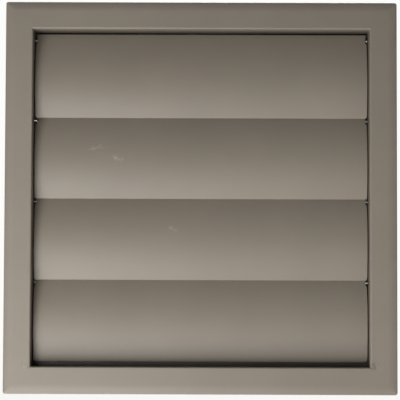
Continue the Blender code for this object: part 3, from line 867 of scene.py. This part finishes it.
def scuff_group():
    """A rubbed spot: short fine strokes inside a soft oval round a point."""
    sizes = {
        "Half Length": 0.004,
        "Half Width": 0.0015,
        "Half Depth": 0.0010,
        "Turn": 0.0,
        "Stroke Width": 0.0006,
    }
    group, start, end = mask_group("scuff", ["Place", "Centre"], sizes)
    size = start.outputs
    offset = vector_maths(group, "SUBTRACT", size["Place"], size["Centre"])
    offset = turned_place(group, offset, size["Turn"])
    parts = parts_of(group, offset)
    total = 0.0
    for axis, reach in ((0, "Half Length"), (2, "Half Width"), (1, "Half Depth")):
        share = maths(group, "DIVIDE", parts[axis], size[reach])
        total = maths(group, "MULTIPLY_ADD", share, share, total)
    oval = ramp(group, maths(group, "SQRT", total), 0.35, 1.0, 1.0, 0.0, smooth=True)
    stretched = vector_maths(group, "MULTIPLY", offset, (0.16, 1.0, 1.0))
    scale = maths(group, "DIVIDE", 0.7, size["Stroke Width"])
    strokes = ramp(group, noise(group, stretched, scale, 1.0), 0.49, 0.57)
    group.links.new(maths(group, "MULTIPLY", oval, strokes), end.inputs["Mask"])
    return group


SCUFFS = [
    ((-0.0500, -0.0139, 0.0241), 0.0056, 0.0018, 0.12),
    ((-0.0395, -0.0145, 0.0190), 0.0038, 0.0026, -0.65),
    ((-0.0131, -0.0139, -0.0146), 0.0030, 0.0026, -0.80),
]
scuff = scuff_group()


def flap_scuffs(tree, place):
    """The few pale rub marks on the middle flaps, left of the centre."""
    made = []
    for centre, half_length, half_width, turn in SCUFFS:
        feeds = {"Half Length": half_length, "Half Width": half_width, "Turn": turn}
        feeds.update({"Place": place, "Centre": centre})
        mask = outlet(tree, "ShaderNodeGroup", feeds, node_tree=scuff)
        made.append((mask, 0.80, toned(PLASTIC, 1.50), 1.0))
    return made


flap_plastic = plastic_finish("flap_plastic_finish", PLASTIC, 0.44, flap_scuffs)
flap_maker = flap_tree()
for number, pin_z in enumerate(PIN_HEIGHTS, 1):
    sizes = {"Pin Place": (0.0, PIN_Y, pin_z), "Finish": flap_plastic}
    mesh = grown(bpy.data.meshes.new("flap"), flap_maker, sizes, f"flap_{number}")
    body = f"flap_{number}_body"
    add_piece(f"flap_{number}_blade", mesh, flap_plastic, body, [f"flap_{number}"])


# Pivot pins: bright drawn steel with a flat round head. Each is pushed through the side
# wall's bearing pad from the hollow of the frame and grips in the boss at the flap's end.

PIN_TIP_X = 0.0760
PIN_HEAD_X = 0.0830
PIN_RADIUS = 0.0007
PIN_HEAD_RADIUS = 0.0016
PIN_HEAD_THICKNESS = 0.0007
PIN_EDGE = 0.0002
PIN_SIDES = 32


def pin_mesh():
    """One pin along +X, its shank towards the flap, the head outside."""
    head_end = PIN_HEAD_X + PIN_HEAD_THICKNESS
    shank = PIN_RADIUS - PIN_EDGE
    section = [(0.0, PIN_TIP_X), (shank, PIN_TIP_X), (PIN_RADIUS, PIN_TIP_X + PIN_EDGE)]
    section += [(PIN_RADIUS, PIN_HEAD_X), (PIN_HEAD_RADIUS, PIN_HEAD_X)]
    section += arc((PIN_HEAD_RADIUS - PIN_EDGE, head_end - PIN_EDGE), PIN_EDGE, 0, 90, 4)
    section.append((0.0, head_end))
    form = turned(section, PIN_SIDES)
    lay_across(form)
    return mesh_from(form, "pin")


def pin_pair_tree():
    """Sets a pin at each end of a flap's pin axis, the left one turned about."""
    tree, start, end = geometry_tree("pin_pair", {}, PIN_PLACE)
    do, triple = tree_words(tree)
    feeds = {"Count": 2, "Start Location": start.outputs["Pin Place"], "Offset": (0.0, 0.0, 0.0)}
    line = outlet(tree, "GeometryNodeMeshLine", feeds)
    turn = triple(0.0, 0.0, do("MULTIPLY", outlet(tree, "GeometryNodeInputIndex"), math.pi))
    feeds = {"Points": line, "Instance": start.outputs["Geometry"], "Rotation": turn}
    send_out(tree, start, end, outlet(tree, "GeometryNodeInstanceOnPoints", feeds))
    return tree


def steel_finish(name, colour, roughness, grain_size):
    """Drawn or plated steel, with a fine grain in its tone and polish."""
    finish, tree, shader, place = new_finish(name)
    grain = noise(tree, place, 1.0 / grain_size, 3.0)
    tone = mixed_colour(tree, grain, toned(colour, 0.86), toned(colour, 1.0))
    gloss = ramp(tree, grain, 0.3, 0.7, roughness - 0.06, roughness + 0.08)
    shader.inputs["Metallic"].default_value = 1.0
    dress(tree, shader, tone, gloss, grain, strength=0.2, depth=0.00001)
    return finish


pin_steel = steel_finish("pin_steel_finish", (0.78, 0.78, 0.76), 0.26, 0.0004)
pin_setter = pin_pair_tree()
for number, pin_z in enumerate(PIN_HEIGHTS, 1):
    sizes = {"Pin Place": (0.0, PIN_Y, pin_z), "Finish": pin_steel}
    mesh = grown(pin_mesh(), pin_setter, sizes, "pins")
    nodes = [f"pivot_pin_{number}_left", f"pivot_pin_{number}_right"]
    add_piece(f"pivot_pins_{number}", mesh, pin_steel, f"flap_{number}_body", nodes)


# Rear plate and spigot: one PVC moulding, with a square plate that closes the frame's
# hollow back and seats on the wall, and the round spigot that goes into the duct, drafted
# and led in at its end.

PLATE_HALF = 0.0907
PLATE_FRONT_Y = -0.0030
SPIGOT_RADIUS = 0.07425
BORE_RADIUS = 0.07225
SPIGOT_LENGTH = 0.0400
SPIGOT_DRAFT = 0.0004
LEAD_IN = 0.0030
LEAD_IN_DROP = 0.0009
ROOT_FILLET = 0.0025
PLATE_EDGE = 0.0003
MOUTH_ROUND = 0.0008
SPIGOT_SIDES = 192
FIXING_PAD_SIDES = 48
FIXING_OFFSET = 0.0675
FIXING_PAD_RADIUS = 0.0055
FIXING_PAD_HEIGHT = 0.0008
FIXING_HOLE_RADIUS = 0.00225
POCKET_RADIUS = 0.0029
POCKET_DEPTH = 0.0019


def plate_mesh():
    """The plate and spigot, then the bore, the fixing pads and holes and screw pockets."""
    front = PLATE_FRONT_Y
    rows = [(PLATE_EDGE, front), (0.0, front + PLATE_EDGE), (0.0, -PLATE_EDGE), (PLATE_EDGE, 0.0)]
    form = bmesh.new()
    rings = []
    for inset, y in rows:
        radius = max(2 * PLATE_EDGE - inset, PLATE_EDGE)
        rings.append([form.verts.new(point) for point in square_ring(PLATE_HALF - inset, radius, y)])
    form.faces.new(rings[0])
    form.faces.new(rings[-1])
    for ring, after in zip(rings, rings[1:]):
        for i in range(len(ring)):
            j = (i + 1) % len(ring)
            form.faces.new((ring[i], ring[j], after[j], after[i]))
    mesh = mesh_from(form, "plate")

    root, tip = SPIGOT_RADIUS + ROOT_FILLET, SPIGOT_RADIUS - SPIGOT_DRAFT
    section = [(0.0, front / 2), (root, front / 2)]
    section += arc((root, ROOT_FILLET), ROOT_FILLET, 270, 180, 10)
    section.append((tip, SPIGOT_LENGTH - LEAD_IN))
    tip_round = (tip - LEAD_IN_DROP - PLATE_EDGE, SPIGOT_LENGTH - PLATE_EDGE)
    section += arc(tip_round, PLATE_EDGE, 0, 90, 4)
    section.append((0.0, SPIGOT_LENGTH))
    mesh = combined(mesh, mesh_from(turned(section, SPIGOT_SIDES), "spigot"), "UNION")

    mouth, end_y = BORE_RADIUS + MOUTH_ROUND, SPIGOT_LENGTH + OVERRUN
    bore = [(0.0, front - OVERRUN), (mouth, front - OVERRUN), (mouth, front)]
    bore += arc((mouth, front + MOUTH_ROUND), MOUTH_ROUND, 270, 180, 6)[1:]
    bore += [(BORE_RADIUS - SPIGOT_DRAFT, end_y), (0.0, end_y)]
    mesh = combined(mesh, mesh_from(turned(bore, SPIGOT_SIDES), "bore"), "DIFFERENCE")

    pad_y = front - FIXING_PAD_HEIGHT
    spots = corner_spots(FIXING_OFFSET)
    pads = [rod(FIXING_PAD_RADIUS, pad_y, front + LAP, FIXING_PAD_SIDES, spot) for spot in spots]
    mesh = combined(mesh, gathered(pads), "UNION")
    start = pad_y - OVERRUN
    holes = [rod(FIXING_HOLE_RADIUS, start, OVERRUN, BOSS_SIDES, spot) for spot in spots]
    pocket = [(0.0, front - OVERRUN), (PILOT_RADIUS, front - OVERRUN)]
    pocket += [(PILOT_RADIUS, -POCKET_DEPTH), (POCKET_RADIUS, -POCKET_DEPTH)]
    pocket += [(POCKET_RADIUS, OVERRUN), (0.0, OVERRUN)]
    for x, z in corner_spots(CHANNEL_MIDDLE):
        form = turned(pocket, BOSS_SIDES)
        bmesh.ops.translate(form, verts=form.verts, vec=(x, 0.0, z))
        holes.append(form)
    return combined(mesh, gathered(holes), "DIFFERENCE")


plate = plate_mesh()
add_piece("rear_plate_and_spigot", plate, vent_plastic, "vent_body", ["rear_spigot"])


# Corner screws: four zinc-plated self-tapping screws with round heads and cross recesses.
# They hold the plate to the bosses in the frame's corners, their heads sunk in pockets.

SCREW_SIZES = {
    "Half Spacing": CHANNEL_MIDDLE,
    "Seat": -0.0016,
    "Thread Pitch": 0.0011,
    "Thread Depth": 0.00026,
    "Thread Start": -0.0088,
    "Thread End": -0.0006,
    "Recess Span": 0.0028,
    "Recess Width": 0.0007,
    "Recess Depth": 0.0010,
    "Head Height": 0.0016,
}
SCREW_RADIUS = 0.0013
SCREW_LENGTH = 0.0095
SCREW_TIP_RADIUS = 0.0004
SCREW_TIP_LENGTH = 0.0012
SCREW_HEAD_RADIUS = 0.0027
SCREW_HEAD_ROUND = 0.0005
SCREW_SIDES = 32
SCREW_TURN = 1.3
THREAD_RINGS = 96
THREAD_FLANK = (0.10, 0.38)
TURNS_AHEAD = 20.0


def screw_blank():
    """A plain turned screw along -Y, its head plane at y = 0, many rings on its shank."""
    height = SCREW_SIZES["Head Height"]
    section = [(0.0, -SCREW_LENGTH), (SCREW_TIP_RADIUS, -SCREW_LENGTH)]
    section.append((SCREW_RADIUS, -SCREW_LENGTH + SCREW_TIP_LENGTH))
    span = SCREW_LENGTH - SCREW_TIP_LENGTH
    steps = range(1, THREAD_RINGS + 1)
    section += [(SCREW_RADIUS, -span + span * step / THREAD_RINGS) for step in steps]
    section.append((SCREW_HEAD_RADIUS, 0.0))
    head_round = (SCREW_HEAD_RADIUS - SCREW_HEAD_ROUND, height - SCREW_HEAD_ROUND)
    section += arc(head_round, SCREW_HEAD_ROUND, 0, 90, 5)
    section.append((0.0, height))
    return mesh_from(turned(section, SCREW_SIDES), "screw")


def screw_tree():
    """Cuts the thread and the cross recess, and sets a screw at each corner."""
    tree, start, end = geometry_tree("corner_screws", SCREW_SIZES)
    do, triple = tree_words(tree)
    size = start.outputs

    place = parts_of(tree, outlet(tree, "GeometryNodeInputPosition"))
    turn = do("DIVIDE", do("ARCTAN2", place[2], place[0]), 2 * math.pi)
    climb = do("DIVIDE", place[1], size["Thread Pitch"])
    phase = do("FRACT", do("ADD", climb, do("ADD", turn, TURNS_AHEAD)))
    flank = do("ABSOLUTE", do("SUBTRACT", phase, 0.5))
    ridge = ramp(tree, flank, *THREAD_FLANK, 1.0, 0.0)
    past_start = do("GREATER_THAN", place[1], size["Thread Start"])
    inside = do("MULTIPLY", past_start, do("LESS_THAN", place[1], size["Thread End"]))
    cut = do("MULTIPLY", do("SUBTRACT", 1.0, ridge), size["Thread Depth"])
    shrink = do("SUBTRACT", 1.0, do("DIVIDE", do("MULTIPLY", cut, inside), SCREW_RADIUS))
    spot = triple(do("MULTIPLY", place[0], shrink), place[1], do("MULTIPLY", place[2], shrink))
    feeds = {"Geometry": size["Geometry"], "Position": spot}
    threaded = outlet(tree, "GeometryNodeSetPosition", feeds)

    depth = do("ADD", size["Recess Depth"], OVERRUN)
    middle = do("SUBTRACT", do("ADD", size["Head Height"], OVERRUN), do("DIVIDE", depth, 2.0))
    cutter = add_node(tree, "GeometryNodeMeshBoolean", operation="DIFFERENCE", solver="EXACT")
    tree.links.new(threaded, cutter.inputs[0])
    for wide, high in (("Recess Span", "Recess Width"), ("Recess Width", "Recess Span")):
        feeds = {"Size": triple(size[wide], depth, size[high])}
        box = outlet(tree, "GeometryNodeMeshCube", feeds)
        feeds = {"Geometry": box, "Translation": triple(0.0, middle, 0.0)}
        tree.links.new(outlet(tree, "GeometryNodeTransform", feeds), cutter.inputs[1])

    spread = do("MULTIPLY", size["Half Spacing"], 2.0)
    feeds = {"Size X": spread, "Size Y": spread, "Vertices X": 2, "Vertices Y": 2}
    grid = outlet(tree, "GeometryNodeMeshGrid", feeds)
    feeds = {"Geometry": grid, "Translation": triple(0.0, size["Seat"], 0.0)}
    feeds["Rotation"] = Euler((math.pi / 2, 0.0, 0.0))
    corners = outlet(tree, "GeometryNodeTransform", feeds)
    turn = do("MULTIPLY", outlet(tree, "GeometryNodeInputIndex"), SCREW_TURN)
    feeds = {"Points": corners, "Instance": cutter.outputs[0], "Rotation": triple(0.0, turn, 0.0)}
    screws = outlet(tree, "GeometryNodeInstanceOnPoints", feeds)
    real = outlet(tree, "GeometryNodeRealizeInstances", {"Geometry": screws})
    send_out(tree, start, end, merged(tree, real))
    return tree


screw_steel = steel_finish("screw_steel_finish", (0.66, 0.67, 0.68), 0.34, 0.0006)
screw_mesh = grown(screw_blank(), screw_tree(), {"Finish": screw_steel}, "corner_screws")
screw_corners = [(level, side) for level in ("top", "bottom") for side in ("left", "right")]
screw_nodes = [f"corner_screw_{level}_{side}" for level, side in screw_corners]
add_piece("corner_screws", screw_mesh, screw_steel, "vent_body", screw_nodes)


# Floor, light and camera: a plain white studio. The vent stands on a pale floor in front
# of a white surround, lit from low on the left, and the camera looks square at its face.

scene = bpy.context.scene


def white_to_camera(tree, shown, lit):
    """Mixes what the camera sees, straight or in one reflection, with the lit shader."""
    path = add_node(tree, "ShaderNodeLightPath").outputs
    mirrored = maths(tree, "MAXIMUM", path["Is Glossy Ray"], path["Is Transmission Ray"])
    mirrored = maths(tree, "MULTIPLY", mirrored, maths(tree, "LESS_THAN", path["Ray Depth"], 1.5))
    seen = maths(tree, "MAXIMUM", path["Is Camera Ray"], mirrored)
    return outlet(tree, "ShaderNodeMixShader", {0: seen, 1: lit, 2: shown})


BACKGROUND = (0.982, 0.974, 0.959, 1.0)
FILL = 0.06
FLOOR_HALF = 3.0
FLOOR_SHADE = 0.05
SHADE_NEAR = 0.15
SHADE_FAR = 0.70

world = bpy.data.worlds.new("studio")
scene.world = world
world.use_nodes = True
tree = world.node_tree
shown = outlet(tree, "ShaderNodeBackground", {"Color": BACKGROUND, "Strength": 1.0})
fill = tree.nodes["Background"]
fill.inputs["Color"].default_value = (1.0, 1.0, 1.0, 1.0)
fill.inputs["Strength"].default_value = FILL
mixed = white_to_camera(tree, shown, fill.outputs[0])
tree.links.new(mixed, tree.nodes["World Output"].inputs["Surface"])

floor_form = bmesh.new()
bmesh.ops.create_grid(floor_form, x_segments=1, y_segments=1, size=FLOOR_HALF)
bmesh.ops.translate(floor_form, verts=floor_form.verts, vec=(0.0, 0.0, cad_box[0][2]))
floor = bpy.data.objects.new("floor", mesh_from(floor_form, "floor"))
scene.collection.objects.link(floor)
floor.visible_shadow = False
floor_paint, tree, paint, place = new_finish("floor_paint")
paint.inputs["Base Color"].default_value = (0.60, 0.60, 0.59, 1.0)
paint.inputs["Roughness"].default_value = 0.9
paint.inputs["Specular IOR Level"].default_value = 0.0
from_foot = add_node(tree, "ShaderNodeVectorMath", {0: place}, operation="LENGTH").outputs["Value"]
near = ramp(tree, from_foot, SHADE_NEAR, SHADE_FAR, FLOOR_SHADE, 0.0, smooth=True)
glow = outlet(tree, "ShaderNodeEmission", {"Color": BACKGROUND, "Strength": 1.0})
pale = outlet(tree, "ShaderNodeMixShader", {0: near, 1: glow, 2: paint.outputs[0]})
mixed = white_to_camera(tree, pale, paint.outputs[0])
tree.links.new(mixed, tree.nodes["Material Output"].inputs["Surface"])
floor.data.materials.append(floor_paint)


def soft_light(name, place, size, power):
    """A round soft box that faces the vent. Its light reaches the vent through the floor."""
    data = bpy.data.lights.new(name, "AREA")
    data.shape = "DISK"
    data.size = size
    data.energy = power
    data.cycles.use_multiple_importance_sampling = False
    light = bpy.data.objects.new(name, data)
    scene.collection.objects.link(light)
    light.location = place
    light.rotation_euler = (-Vector(place)).to_track_quat("-Z", "Y").to_euler()


soft_light("main_light", (-0.186, -0.511, -0.254), 0.30, 1.35)
soft_light("side_light", (-0.251, -0.539, -0.084), 0.30, 0.76)
soft_light("low_light", (-0.073, -0.199, -0.339), 0.20, 0.30)
soft_light("corner_light", (-0.165, -0.197, -0.306), 0.20, 0.33)
soft_light("back_light", (0.25, 0.55, 0.85), 0.80, 14.0)

LENS_PIXELS = 1644.0
PHOTO_PIXELS = 400
CAMERA_PLACE = (0.00325, -0.7987, -0.0405)
PAN, TILT, ROLL = 0.0046, 0.0504, -0.0035

camera_data = bpy.data.cameras.new("camera")
camera_data.sensor_width = 36.0
camera_data.lens = LENS_PIXELS / PHOTO_PIXELS * camera_data.sensor_width
camera = bpy.data.objects.new("camera", camera_data)
scene.collection.objects.link(camera)
turn = Matrix.Rotation(PAN, 4, "Z") @ Matrix.Rotation(TILT, 4, "X") @ Matrix.Rotation(ROLL, 4, "Y")
turn = turn @ Matrix.Rotation(math.pi / 2, 4, "X")
camera.matrix_world = Matrix.Translation(CAMERA_PLACE) @ turn
scene.camera = camera
scene.view_settings.view_transform = "Standard"
